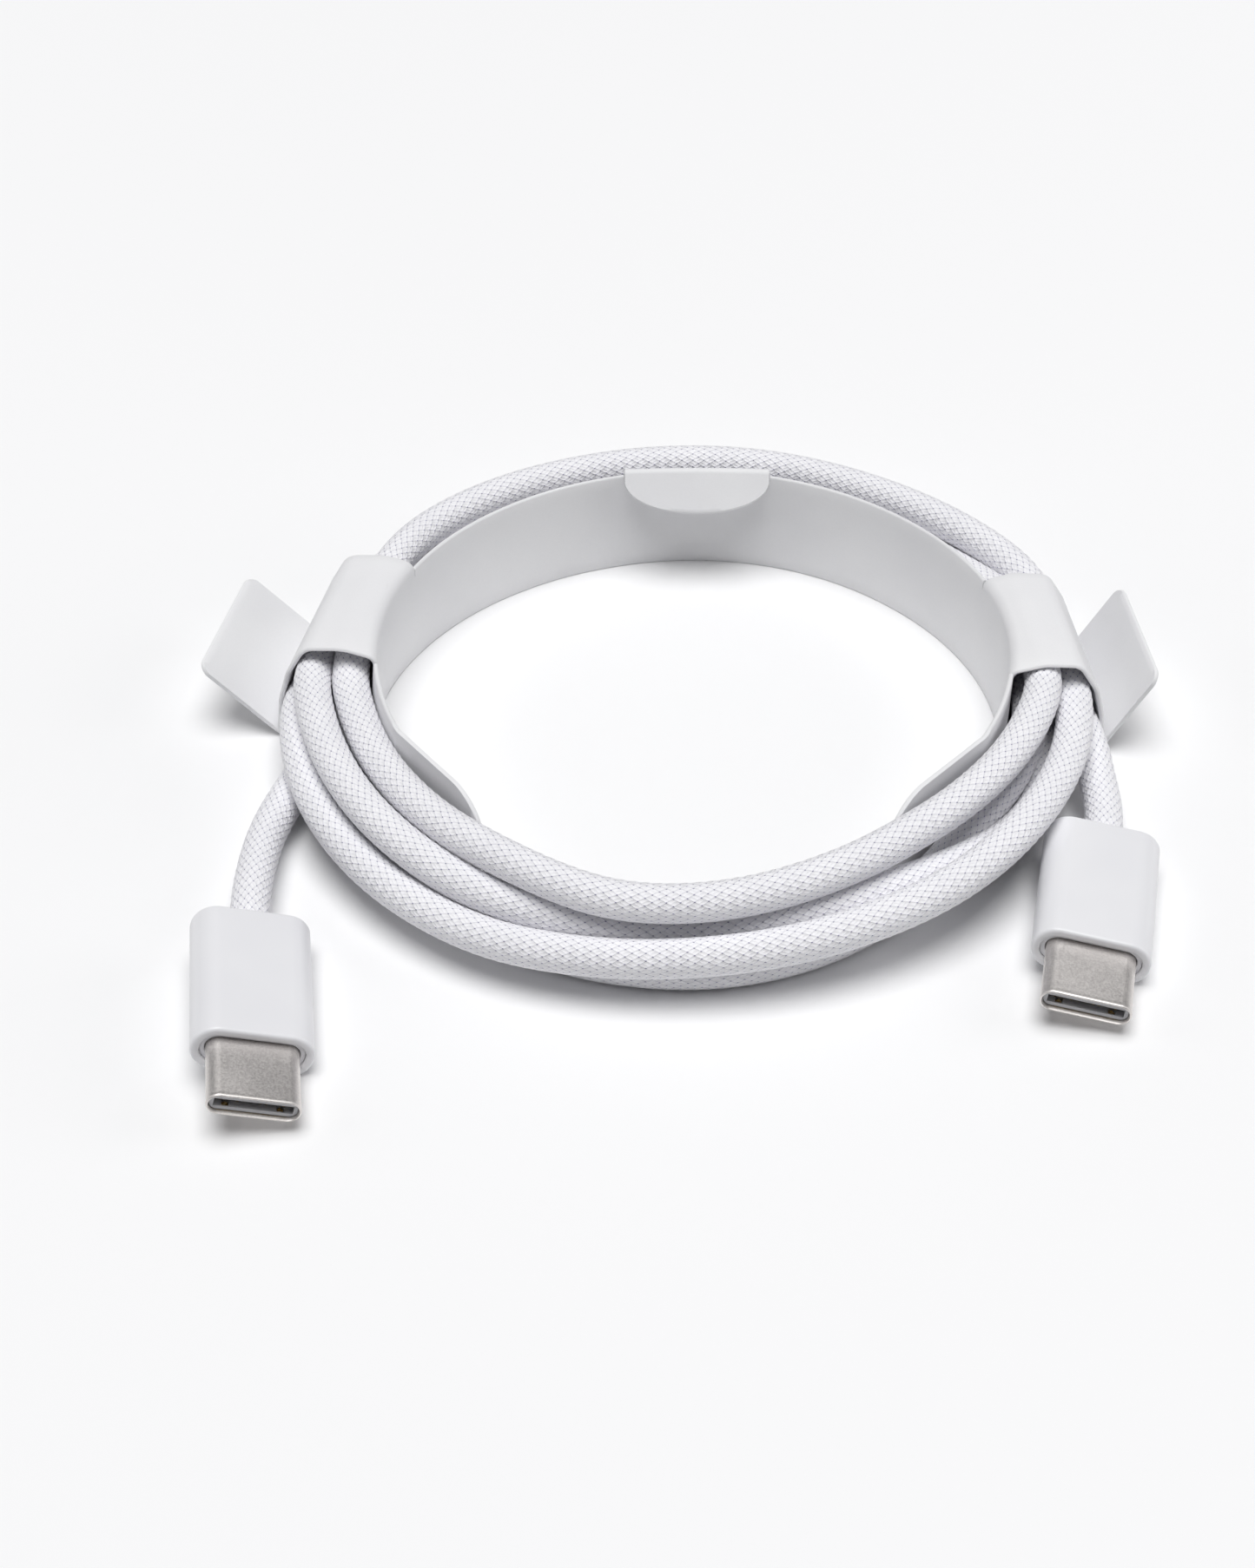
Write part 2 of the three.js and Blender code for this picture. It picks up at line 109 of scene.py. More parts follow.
SHELL = {"width": 8.25, "height": 2.4, "length": 10.5, "wall": 0.25}
HOUSING = {"width": 10.85, "height": 5.0, "front": 6.5, "rear": 22.35, "wall": 0.78, "rear_wall": 1.2}
CABLE_HOLE_D = 3.7
BEZEL = {"front": 6.85, "rear": 7.9, "clearance": 0.06}
PLUGS = {
    "left": {"lip": (-36.7, -52.6, 3.36), "yaw": 7.05, "roll": 17},
    "right": {"lip": (35.1, -40.17, 2.91), "yaw": -9.7, "roll": 8},
}

ROOT = "coiled_cable_and_wrap"

# The coil's centre on the table, in the frame's metres.
coil_low, coil_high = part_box("cable_coil")
CENTRE = np.array([
    (coil_low.x + coil_high.x) / 2,
    (coil_low.y + coil_high.y) / 2,
    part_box("inner_band")[0].z,
])


def mm(points):
    """Points in mm from the coil's centre, as points in the frame's metres."""
    return np.asarray(points, float) / 1000 + CENTRE


def polar(radius, azimuth, z):
    a = math.radians(azimuth)
    return (radius * math.cos(a), radius * math.sin(a), z)


# ---- camera -------------------------------------------------------------------------------------

CAMERA_AT = (-0.2, -229.9, 193.1)
CAMERA_AIM = (-0.2, 0.8, 0)
CAMERA_LENS = 69.8
CAMERA_SHIFT = (-0.0363, -0.0311)

camera_data = bpy.data.cameras.new("camera")
camera = bpy.data.objects.new("camera", camera_data)
bpy.context.scene.collection.objects.link(camera)
bpy.context.scene.camera = camera
camera.location = mm(CAMERA_AT)
aim = Vector(mm(CAMERA_AIM)) - Vector(mm(CAMERA_AT))
camera.rotation_euler = aim.to_track_quat("-Z", "Y").to_euler()
camera_data.lens = CAMERA_LENS
camera_data.shift_x = CAMERA_SHIFT[0]
camera_data.shift_y = CAMERA_SHIFT[1]
camera_data.clip_start = 0.01
camera_data.clip_end = 20

# ---- the cable's route --------------------------------------------------------------------------

# From inside the left plug to the left cuff, and from the right cuff into the right plug.
TAIL_LEFT = [
    (-39.34, -31.25, 3.36), (-39.48, -30.35, 3.36), (-39.8, -27, 3.28), (-39.85, -23.5, 3.05),
    (-39.7, -19.5, 2.75), (-39.3, -14.8, 2.6), (-38.95, -11.2, 2.6), (-38.1, -5, 2.45),
]
TAIL_RIGHT = [
    (38.75, -3.3, 4.0), (39.2, -7.2, 3.1), (39.35, -9.8, 2.75), (39.48, -12, 2.83),
    (39.42, -14.7, 2.9), (38.89, -17.95, 2.91), (38.73, -18.85, 2.91),
]

# One row a turn, from the left cuff over the back, through the right cuff and round the front:
# (azimuth, radius, height) of the cable's centre.
TURNS = [
    [(176, 38.0, 2.3), (170, 37.4, 2.25), (163, 36.1, 2.1), (155, 34.6, 1.9), (147, 33.5, 1.9),
     (138, 33, 1.9), (45, 33.1, 1.9), (28, 33.1, 2), (19, 33.1, 2.7), (11, 33.3, 3.9),
     (2, 33.6, 5.1), (-6, 33.8, 5.3), (-18, 33, 4.6), (-30, 32, 3.4), (-44, 32, 2.1),
     (-58, 33, 1.85), (-75, 34, 1.85), (-88, 34.3, 1.85), (-110, 34, 1.85), (-140, 34, 1.85),
     (-165, 34.3, 1.9), (-178, 34, 2.3)],
    [(170, 33.4, 2.9), (163, 33, 3.9), (155, 32.8, 5), (147, 32.8, 5.4), (138, 32.8, 5.5),
     (45, 32.9, 5.5), (30, 32.9, 5.6), (22, 33, 6.2), (14, 33.3, 7.4), (4, 33.6, 8.9),
     (-3, 33.8, 8.9), (-13, 33.1, 8.6), (-35, 31.7, 8.6), (-50, 31.2, 8.6), (-68, 32, 8.4),
     (-88, 33.2, 8.3), (-101, 33.7, 8.3), (-126, 32.2, 8.5), (-145, 31.4, 8.5),
     (-165, 31.2, 8.7), (-180, 32, 9.6)],
    [(170, 32.5, 9.7), (163, 33, 9.8), (155, 33.7, 9.9), (147, 34.4, 9.8), (138, 34.9, 9.4),
     (110, 34.8, 9), (80, 34.7, 9), (55, 33.9, 9.1), (40, 33.7, 9.1), (30, 33.9, 9.1),
     (22, 34.4, 9.1), (14, 35.3, 8.9), (6, 36.4, 8.4), (-2, 37, 7.7), (-13, 37.2, 7),
     (-30, 36.6, 6.9), (-57, 35.4, 5.8), (-88, 35.4, 5.2), (-118, 36.1, 4.7), (-140, 37.1, 4.5),
     (-160, 37.8, 4.9), (-178, 37.6, 5.7)],
    [(170, 37.3, 6), (163, 37.3, 5.9), (155, 37.3, 4.9), (147, 37.2, 3.4), (138, 36.8, 2.1),
     (45, 36.6, 1.9), (22, 36.6, 1.9), (8, 36, 2), (-6, 35.7, 1.95), (-18, 35.8, 2.3),
     (-30, 35.4, 3.4), (-44, 34.3, 4.6), (-58, 33.2, 5), (-70, 32.5, 5), (-88, 32.2, 4.9),
     (-105, 33, 5.2), (-120, 34.3, 6.3), (-137, 34.9, 7.7), (-154, 35.2, 8.3), (-175, 35.7, 9.1)],
    [(170, 36, 9.2), (163, 35.9, 8.8), (155, 35.6, 7.8), (147, 35.9, 6.7), (138, 36.4, 5.7),
     (45, 36.5, 5.5), (25, 36.9, 5.4), (15, 37.4, 5), (6, 37.9, 4.5)],
]
ROUTE_STEP = 1.2

# How the turns are settled: the mm asked for beyond a diameter and beyond touching the card, and
# the shares of the push and of the pull back to the laid route that one round takes.
SETTLE_ROUNDS = 1200
SPARE_GAP = 0.12
SPARE_CLEARANCE = 0.08
PUSH_SHARE = 0.55
PULL_BACK = 0.001
# Counts of route points: no two within the first count push each other, and the route's ends stay
# put, with the movement growing over the second count.
NEXT_ALONG = 6
FADED_ENDS = 14
# The least distance from the axis where no band stands beside the cable.
FRONT_RADIUS = 30.2


def resampled(line, step):
    """The same line with points about a step apart."""
    at = np.concatenate([[0], np.cumsum(np.linalg.norm(np.diff(line, axis=0), axis=1))])
    count = max(2, int(round(at[-1] / step)) + 1)
    wanted = np.linspace(0, at[-1], count)
    return np.stack([np.interp(wanted, at, line[:, k]) for k in range(3)], 1)


def smoothed(values, rounds):
    """Values drawn towards their neighbours' mean, with both ends kept."""
    out = values.copy()
    for _ in range(rounds):
        out[1:-1] = 0.5 * out[1:-1] + 0.25 * (out[:-2] + out[2:])
    return out


def curve_through(points, step):
    """A smooth curve through the points, a step apart."""
    per_span = 24
    p = np.array(points, float)
    p = np.vstack([2 * p[0] - p[1], p, 2 * p[-1] - p[-2]])
    out = []
    for a, b, c, d in zip(p[:-3], p[1:-2], p[2:-1], p[3:]):
        for t in np.linspace(0, 1, per_span, endpoint=False):
            out.append(0.5 * (2 * b + (c - a) * t + (2 * a - 5 * b + 4 * c - d) * t ** 2
                              + (3 * b - a - 3 * c + d) * t ** 3))
    out.append(p[-2])
    return resampled(np.array(out), step)


def laid_route():
    """The route as given: the left tail, the turns and the right tail. Each tail's curve
    runs into the turns through two of their points."""
    near, far = 3, 8
    softening = 30
    stations = [
        (azimuth - 360 * turn, radius, z)
        for turn, row in enumerate(TURNS) for azimuth, radius, z in row
    ]
    azimuth, radius, z = np.array(stations, float).T
    fine = np.arange(azimuth[0], azimuth[-1] - 0.01, -1.0)
    radius = smoothed(np.interp(-fine, -azimuth, radius), softening)
    z = smoothed(np.interp(-fine, -azimuth, z), softening)
    angle = np.radians(fine)
    turns = resampled(np.stack([radius * np.cos(angle), radius * np.sin(angle), z], 1), ROUTE_STEP)
    start = curve_through(TAIL_LEFT + [turns[near], turns[far]], ROUTE_STEP)
    end = curve_through([turns[-far - 1], turns[-near - 1]] + TAIL_RIGHT, ROUTE_STEP)
    return resampled(np.vstack([start, turns[far + 1:-far - 1], end]), ROUTE_STEP)


def band_radius(azimuth, z):
    """How far from the axis the band's mid-surface stands at a height."""
    softening = 40
    at, foot, top = np.array(BAND_PLAN, float).T
    fine = np.arange(at[0], at[-1] + 1)
    low = smoothed(np.interp(fine, at, foot), softening)
    high = smoothed(np.interp(fine, at, top), softening)
    share = np.clip(z, 0, BAND_H) / BAND_H
    return np.interp(azimuth, fine, low) * (1 - share) + np.interp(azimuth, fine, high) * share


def pushed_off(points, outline, distance):
    """Points in a plane moved off a line of straight pieces, to stay the distance inside it."""
    start, end = outline[:-1], outline[1:]
    run = end - start
    share = np.einsum("pik,ik->pi", points[:, None] - start, run) / (run ** 2).sum(1)
    nearest = start + np.clip(share, 0, 1)[:, :, None] * run
    away = points[:, None] - nearest
    gap = np.linalg.norm(away, axis=2)
    which = gap.argmin(1)
    row = np.arange(len(points))
    gap, away = gap[row, which], away[row, which]
    short = np.clip(distance - gap, 0, None)
    return points + away * (short / np.maximum(gap, 1e-6))[:, None]


def rounded_path(points, radii, on_arc=9, on_line=4):
    """A line of straight pieces with its inner corners turned into arcs."""
    p = [np.array(q, float) for q in points]
    out = [p[0]]
    for before, corner, after, radius in zip(p, p[1:], p[2:], radii):
        a = (before - corner) / np.linalg.norm(before - corner)
        b = (after - corner) / np.linalg.norm(after - corner)
        half = math.acos(max(-1, min(1, float(a @ b)))) / 2
        reach = radius / math.tan(half)
        middle = corner + (a + b) / np.linalg.norm(a + b) * radius / math.sin(half)
        first = corner + a * reach - middle
        last = corner + b * reach - middle
        turn = math.pi - 2 * half
        start = out[-1]
        for k in range(1, on_line):
            out.append(start + (middle + first - start) * k / on_line)
        for k in range(on_arc + 1):
            t = k / on_arc
            out.append(middle + (math.sin((1 - t) * turn) * first + math.sin(t * turn) * last)
                       / math.sin(turn))
    start = out[-1]
    for k in range(1, on_line + 1):
        out.append(start + (p[-1] - start) * k / on_line)
    return np.array(out)


def cuff_path(side, seam, fold):
    """The cuff's mid-surface in its own (outward, up) plane, from the seam to the foot."""
    cuff = CUFFS[side]
    fold_z, fold_r = cuff["fold"]
    points = [(seam, SEAM_Z), (fold, fold_z)] + [(r, z) for r, z, _ in cuff["over"]]
    radii = [fold_r] + [bend for _, _, bend in cuff["over"]]
    return rounded_path(points + [cuff["foot"]], radii)


def settled_route(laid):
    """The laid route with its turns pushed apart and kept inside the wrap. The wrap and a weak
    pull back to the laid route work against the pushing, so the turns are asked for a little more
    than a diameter. They end a little under it at the closest places, by about 0.12 mm at most."""
    apart = CABLE_D + SPARE_GAP
    clear = (CARD_T + CABLE_D) / 2 + SPARE_CLEARANCE
    search_every, search_reach = 30, 3
    index = np.arange(len(laid))
    azimuth = (np.degrees(np.arctan2(laid[:, 1], laid[:, 0])) + 90) % 360 - 90
    beside_band = (azimuth > BAND_ENDS[0]) & (azimuth < BAND_ENDS[1])
    hold = np.clip(np.minimum(index, index[::-1]) / FADED_ENDS, 0, 1)[:, None]
    outlines = {}
    for side, cuff in CUFFS.items():
        seam = float(band_radius(cuff["azimuth"], SEAM_Z))
        fold = float(band_radius(cuff["azimuth"], cuff["fold"][0]))
        outlines[side] = cuff_path(side, seam, fold)
    line = laid.copy()
    for settling in range(SETTLE_ROUNDS):
        if settling % search_every == 0:
            gap = np.linalg.norm(line[:, None] - line[None], axis=2)
            close = gap < apart + search_reach
            a, b = np.nonzero(close & (index[:, None] - index[None] > NEXT_ALONG))
        away = line[a] - line[b]
        gap = np.maximum(np.linalg.norm(away, axis=1), 1e-6)
        push = away * np.clip((apart - gap) / gap, 0, None)[:, None]
        moved = np.zeros_like(line)
        np.add.at(moved, a, push)
        np.add.at(moved, b, -push)
        count = np.bincount(a[gap < apart], minlength=len(line)) + np.bincount(
            b[gap < apart], minlength=len(line))
        line += hold * PUSH_SHARE * moved / np.sqrt(np.maximum(count, 1))[:, None]
        line += hold * PULL_BACK * (laid - line)
        line = laid + hold * smoothed(line - laid, 1)
        radius = np.hypot(line[:, 0], line[:, 1])
        least = np.where(beside_band, band_radius(azimuth, line[:, 2]) + clear, FRONT_RADIUS)
        line[:, :2] *= (np.maximum(radius, least) / radius)[:, None]
        line[:, 2] = np.maximum(line[:, 2], CABLE_D / 2)
        for side, cuff in CUFFS.items():
            a0 = math.radians(cuff["azimuth"])
            out = line[:, 0] * math.cos(a0) + line[:, 1] * math.sin(a0)
            along = line[:, 1] * math.cos(a0) - line[:, 0] * math.sin(a0)
            inside = (np.abs(along) < cuff["width"] / 2 + 0.4) & (out > 0)
            held = np.stack([out, line[:, 2]], 1)[inside]
            held = pushed_off(held, outlines[side], clear)
            held[:, 1] = np.maximum(held[:, 1], CARD_T + CABLE_D / 2 + 0.02)
            line[inside, 0] = held[:, 0] * math.cos(a0) - along[inside] * math.sin(a0)
            line[inside, 1] = held[:, 0] * math.sin(a0) + along[inside] * math.cos(a0)
            line[inside, 2] = held[:, 1]
    # Each smoothing is followed by about as much swelling, so that the loops keep their size.
    for _ in range(12):
        line = smoothed(line, 1)
        line[1:-1] -= 0.26 * (line[:-2] + line[2:] - 2 * line[1:-1])
    return line


route = settled_route(laid_route())

# ---- mesh helpers -------------------------------------------------------------------------------


def new_object(name, vertices, faces, uv=None):
    """A smooth-shaded object from points in mm. uv gives a pair for each face corner."""
    mesh = bpy.data.meshes.new(name)
    mesh.from_pydata(mm(vertices).tolist(), [], [list(f) for f in faces])
    if uv is not None:
        layer = mesh.uv_layers.new(name="braid")
        layer.data.foreach_set("uv", np.asarray(uv, np.float32).ravel())
    mesh.shade_smooth()
    obj = bpy.data.objects.new(name, mesh)
    bpy.context.scene.collection.objects.link(obj)
    return obj


def face_outwards(obj, sharp=40):
    """Turns every face outwards and marks edges sharper than the angle."""
    shape = bmesh.new()
    shape.from_mesh(obj.data)
    bmesh.ops.remove_doubles(shape, verts=shape.verts, dist=1e-7)
    bmesh.ops.recalc_face_normals(shape, faces=shape.faces)
    shape.to_mesh(obj.data)
    shape.free()
    obj.data.shade_smooth()
    obj.data.set_sharp_from_angle(angle=math.radians(sharp))
    return obj


def grid_faces(rows, columns, first=0, closed=False):
    """Quads over a grid of points. closed joins the last column to the first."""
    faces = []
    for i in range(rows - 1):
        for j in range(columns if closed else columns - 1):
            k = (j + 1) % columns
            here = first + i * columns
            faces.append((here + j, here + k, here + columns + k, here + columns + j))
    return faces


def spread(low, high, count, edge=0.1):
    """Even stations from low to high, with one more just inside each end."""
    even = np.linspace(low, high, count)
    step = math.copysign(edge, high - low)
    return np.concatenate([[low, low + step], even[1:-1], [high - step, high]])


def card_parts(grid, joined=(), folded_on=None):
    """Points and faces of a sheet of card round a grid of mid-surface points. A cut edge is
    slightly round. joined names the grid's sides that meet another sheet: first, last, left,
    right. folded_on marks the columns whose last row meets another sheet."""
    rows, columns = grid.shape[:2]
    across = np.gradient(grid, axis=1)
    along = np.gradient(grid, axis=0)
    normals = np.cross(along, across)
    normals /= np.maximum(np.linalg.norm(normals, axis=2), 1e-9)[:, :, None]
    cut = {
        "first": np.full(columns, "first" not in joined),
        "last": np.full(columns, "last" not in joined),
        "left": np.full(rows, "left" not in joined),
        "right": np.full(rows, "right" not in joined),
    }
    if folded_on is not None:
        cut["last"] &= ~folded_on
    half = np.full((rows, columns), CARD_T / 2)
    for side, where in (("first", np.s_[0, :]), ("last", np.s_[-1, :]),
                        ("left", np.s_[:, 0]), ("right", np.s_[:, -1])):
        half[where] = np.where(cut[side], CARD_T / 2 * EDGE_SHARE, half[where])
    upper = grid + normals * half[:, :, None]
    lower = grid - normals * half[:, :, None]
    loop = [(0, j) for j in range(columns)] + [(i, columns - 1) for i in range(1, rows)]
    loop += [(rows - 1, j) for j in range(columns - 2, -1, -1)]
    loop += [(i, 0) for i in range(rows - 2, 0, -1)]
    rim = []
    for i, j in loop:
        out = np.zeros(3)
        if i == 0 and cut["first"][j]:
            out += unit(grid[0, j] - grid[1, j])
        if i == rows - 1 and cut["last"][j]:
            out += unit(grid[-1, j] - grid[-2, j])
        if j == 0 and cut["left"][i]:
            out += unit(grid[i, 0] - grid[i, 1])
        if j == columns - 1 and cut["right"][i]:
            out += unit(grid[i, -1] - grid[i, -2])
        rim.append(grid[i, j] + unit(out) * EDGE_BULGE)
    points = np.vstack([upper.reshape(-1, 3), lower.reshape(-1, 3), np.array(rim)])
    size = rows * columns
    faces = grid_faces(rows, columns) + grid_faces(rows, columns, size)
    for k, (i, j) in enumerate(loop):
        n = (k + 1) % len(loop)
        a, b = i * columns + j, loop[n][0] * columns + loop[n][1]
        faces.append((a, b, 2 * size + n, 2 * size + k))
        faces.append((2 * size + k, 2 * size + n, size + b, size + a))
    return points, faces


def unit(vector):
    """The vector at length one, or zero if it has none."""
    size = np.linalg.norm(vector)
    return vector / size if size > 1e-9 else np.zeros(3)


def card_piece(name, sheets):
    """One object from one or more sheets of card, each (points, faces)."""
    points, faces = [], []
    for sheet_points, sheet_faces in sheets:
        first = sum(len(p) for p in points)
        points.append(sheet_points)
        faces += [tuple(first + v for v in f) for f in sheet_faces]
    obj = face_outwards(new_object(name, np.vstack(points), faces))
    obj.data.materials.append(MATERIALS["card"])
    return obj


def with_edge_rows(path, first=True, last=True, edge=0.1):
    """The path with an extra point just inside its cut ends, which keeps the edge crisp."""
    out = list(path)
    if first:
        out.insert(1, out[0] + (out[1] - out[0]) / np.linalg.norm(out[1] - out[0]) * edge)
    if last:
        out.insert(-1, out[-1] + (out[-2] - out[-1]) / np.linalg.norm(out[-2] - out[-1]) * edge)
    return np.array(out)


# ---- materials ----------------------------------------------------------------------------------


class Nodes:
    """A material's node tree, with short calls for the nodes that are used often."""

    def __init__(self, name):
        self.material = bpy.data.materials.new(name)
        self.material.use_nodes = True
        self.tree = self.material.node_tree
        self.tree.nodes.clear()
        self.shader = self.tree.nodes.new("ShaderNodeBsdfPrincipled")
        output = self.tree.nodes.new("ShaderNodeOutputMaterial")
        self.tree.links.new(self.shader.outputs[0], output.inputs["Surface"])

    def put(self, socket, value):
        if isinstance(value, bpy.types.NodeSocket):
            self.tree.links.new(value, socket)
        else:
            socket.default_value = value

    def math(self, operation, *values):
        node = self.tree.nodes.new("ShaderNodeMath")
        node.operation = operation
        for socket, value in zip(node.inputs, values):
            self.put(socket, value)
        return node.outputs[0]

    def noise(self, vector, scale, detail=2.0, roughness=0.5):
        node = self.tree.nodes.new("ShaderNodeTexNoise")
        self.put(node.inputs["Vector"], vector)
        node.inputs["Scale"].default_value = scale
        node.inputs["Detail"].default_value = detail
        node.inputs["Roughness"].default_value = roughness
        return node.outputs["Fac"]

    def where(self):
        return self.tree.nodes.new("ShaderNodeTexCoord").outputs["Object"]

    def ramp(self, value, low, high, to_low, to_high):
        node = self.tree.nodes.new("ShaderNodeMapRange")
        node.interpolation_type = "SMOOTHSTEP"
        for socket, given in zip(node.inputs, (value, low, high, to_low, to_high)):
            self.put(socket, given)
        return node.outputs[0]

    def mix(self, factor, a, b):
        """Two colours mixed. Inputs 0, 6 and 7 are the node's factor and its two colours."""
        node = self.tree.nodes.new("ShaderNodeMix")
        node.data_type = "RGBA"
        self.put(node.inputs[0], factor)
        self.put(node.inputs[6], a)
        self.put(node.inputs[7], b)
        return node.outputs[2]

    def bump(self, height, distance, strength=1.0, normal=None):
        node = self.tree.nodes.new("ShaderNodeBump")
        node.inputs["Strength"].default_value = strength
        node.inputs["Distance"].default_value = distance
        self.put(node.inputs["Height"], height)
        if normal is not None:
            self.put(node.inputs["Normal"], normal)
        return node.outputs[0]

    def finish(self, colour, roughness, normal=None, **plain):
        self.put(self.shader.inputs["Base Color"], colour)
        self.put(self.shader.inputs["Roughness"], roughness)
        if normal is not None:
            self.put(self.shader.inputs["Normal"], normal)
        for name, value in plain.items():
            self.shader.inputs[name.replace("_", " ")].default_value = value
        return self.material


def rgb(r, g, b):
    return (r, g, b, 1.0)


# The braid's diamonds: mm along the cable and the count round it. The yarns' crowns stand up from
# the grooves, and the pinholes sink below them, by these heights in mm.
BRAID_PITCH = 1.2
BRAID_COUNT = 16
CROWN_HEIGHT = 0.06
PINHOLE_DEPTH = 0.05


def braid_material():
    """Pairs of yarns over and under each other in diamonds, with a pinhole at each corner. The
    mesh's braid coordinates count diamonds along and round the cable."""
    n = Nodes("woven_braid")
    uv = n.tree.nodes.new("ShaderNodeUVMap")
    uv.uv_map = "braid"
    parts = n.tree.nodes.new("ShaderNodeSeparateXYZ")
    n.tree.links.new(uv.outputs[0], parts.inputs[0])
    s = n.math("ADD", parts.outputs[0], parts.outputs[1])
    t = n.math("SUBTRACT", parts.outputs[0], parts.outputs[1])
    cell_s = n.math("FLOOR", s)
    cell_t = n.math("FLOOR", t)
    in_s = n.math("FRACT", s)
    in_t = n.math("FRACT", t)
    odd = n.math("MODULO", n.math("ADD", n.math("ADD", cell_s, cell_t), 4000), 2)
    even = n.math("SUBTRACT", 1, odd)
    along = n.math("ADD", n.math("MULTIPLY", odd, in_t), n.math("MULTIPLY", even, in_s))
    across = n.math("ADD", n.math("MULTIPLY", odd, in_s), n.math("MULTIPLY", even, in_t))
    yarn = n.math("ADD", n.math("MULTIPLY", odd, cell_s), n.math("MULTIPLY", even, cell_t))

    arch = n.math("POWER", n.math("SINE", n.math("MULTIPLY", along, math.pi)), 0.55)
    pair = n.math("ABSOLUTE", n.math("SINE", n.math("MULTIPLY", across, 2 * math.pi)))
    pair = n.math("POWER", pair, 0.6)
    fibres = n.math("SINE", n.math("MULTIPLY", across, 26 * math.pi))
    height = n.math("MULTIPLY", arch, n.math("ADD", n.math("MULTIPLY", pair, 0.45), 0.55))
    height = n.math("ADD", height, n.math("MULTIPLY", fibres, 0.02))

    to_corner_s = n.math("MINIMUM", in_s, n.math("SUBTRACT", 1, in_s))
    to_corner_t = n.math("MINIMUM", in_t, n.math("SUBTRACT", 1, in_t))
    corner = n.math("SQRT", n.math("ADD", n.math("POWER", to_corner_s, 2),
                                   n.math("POWER", to_corner_t, 2)))
    open_hole = n.ramp(corner, 0.035, 0.15, 1.0, 0.0)
    height = n.math("SUBTRACT", height, n.math("MULTIPLY", open_hole, 0.5))

    tone = n.tree.nodes.new("ShaderNodeTexWhiteNoise")
    tone.noise_dimensions = "1D"
    n.put(tone.inputs["W"], n.math("ADD", yarn, n.math("MULTIPLY", odd, 0.5)))
    yarns = n.mix(tone.outputs[0], rgb(0.925, 0.92, 0.95), rgb(0.955, 0.95, 0.975))
    # Painted shade: the grooves between a pair's two yarns are darkened towards lavender grey.
    groove = n.ramp(pair, 0.05, 0.45, 0.16, 0.0)
    yarns = n.mix(groove, yarns, rgb(0.66, 0.66, 0.76))
    # Painted shade: where a yarn dips under the crossing pair it is darkened towards lavender grey.
    under = n.ramp(arch, 0.2, 0.7, 0.38, 0.0)
    yarns = n.mix(under, yarns, rgb(0.6, 0.6, 0.72))
    mottle = n.noise(n.where(), 260, 3)
    yarns = n.mix(n.ramp(mottle, 0.35, 0.7, 0.0, 0.25), yarns, rgb(0.83, 0.83, 0.87))
    # Painted shade: the pinholes are coloured dark navy grey for the shade inside them.
    colour = n.mix(open_hole, yarns, rgb(0.32, 0.31, 0.47))
    roughness = n.ramp(height, 0.0, 1.0, 0.85, 0.6)
    normal = n.bump(height, 0.00013, 0.7)
    return n.finish(colour, roughness, normal, Sheen_Weight=0.15, Sheen_Roughness=0.4)


def card_material():
    """Coated white card: a fine fibre grain and a faint unevenness."""
    n = Nodes("white_card")
    at = n.where()
    grain = n.noise(at, 5200, 3, 0.6)
    cloud = n.noise(at, 70, 3)
    colour = n.mix(n.ramp(cloud, 0.3, 0.7, 0.0, 1.0), rgb(0.80, 0.80, 0.815), rgb(0.845, 0.845, 0.855))
    colour = n.mix(n.ramp(grain, 0.3, 0.8, 0.0, 0.12), colour, rgb(0.7, 0.7, 0.73))
    normal = n.bump(n.math("ADD", grain, n.math("MULTIPLY", cloud, 1.5)), 0.00002, 0.45)
    return n.finish(colour, n.ramp(grain, 0.2, 0.8, 0.52, 0.68), normal, Specular_IOR_Level=0.35)


def plastic_material(name, light, dark, roughness, grain_scale, depth):
    """Moulded plastic with a fine spark-eroded grain and a faint cloudiness."""
    n = Nodes(name)
    at = n.where()
    grain = n.noise(at, grain_scale, 2, 0.6)
    cloud = n.noise(at, 90, 2)
    colour = n.mix(n.ramp(cloud, 0.3, 0.7, 0.0, 1.0), dark, light)
    rough = n.ramp(grain, 0.25, 0.75, roughness - 0.05, roughness + 0.06)
    return n.finish(colour, rough, n.bump(grain, depth, 0.5))


def metal_material(name, light, dark, roughness, grain_scale, depth, stretch=(1, 1, 1)):
    """Metal with a fine grain. stretch draws the grain out along the axes with small numbers."""
    n = Nodes(name)
    scaled = n.tree.nodes.new("ShaderNodeVectorMath")
    scaled.operation = "MULTIPLY"
    n.put(scaled.inputs[0], n.where())
    scaled.inputs[1].default_value = stretch
    grain = n.noise(scaled.outputs[0], grain_scale, 3, 0.65)
    smudge = n.noise(n.where(), 160, 3)
    colour = n.mix(n.ramp(grain, 0.3, 0.7, 0.0, 1.0), dark, light)
    rough = n.math("ADD", n.ramp(grain, 0.2, 0.8, roughness - 0.06, roughness + 0.06),
                   n.ramp(smudge, 0.4, 0.7, 0.0, 0.05))
    return n.finish(colour, rough, n.bump(grain, depth, 0.6), Metallic=1.0)


def board_material():
    """Solder mask over a weave of glass cloth."""
    n = Nodes("circuit_board")
    at = n.where()
    wave = n.tree.nodes.new("ShaderNodeTexWave")
    n.put(wave.inputs["Vector"], at)
    wave.inputs["Scale"].default_value = 900
    weave = n.math("MULTIPLY", wave.outputs["Fac"], n.noise(at, 2600, 2))
    colour = n.mix(weave, rgb(0.01, 0.075, 0.035), rgb(0.03, 0.16, 0.08))
    return n.finish(colour, 0.35, n.bump(weave, 0.00001, 0.4), Coat_Weight=0.4)


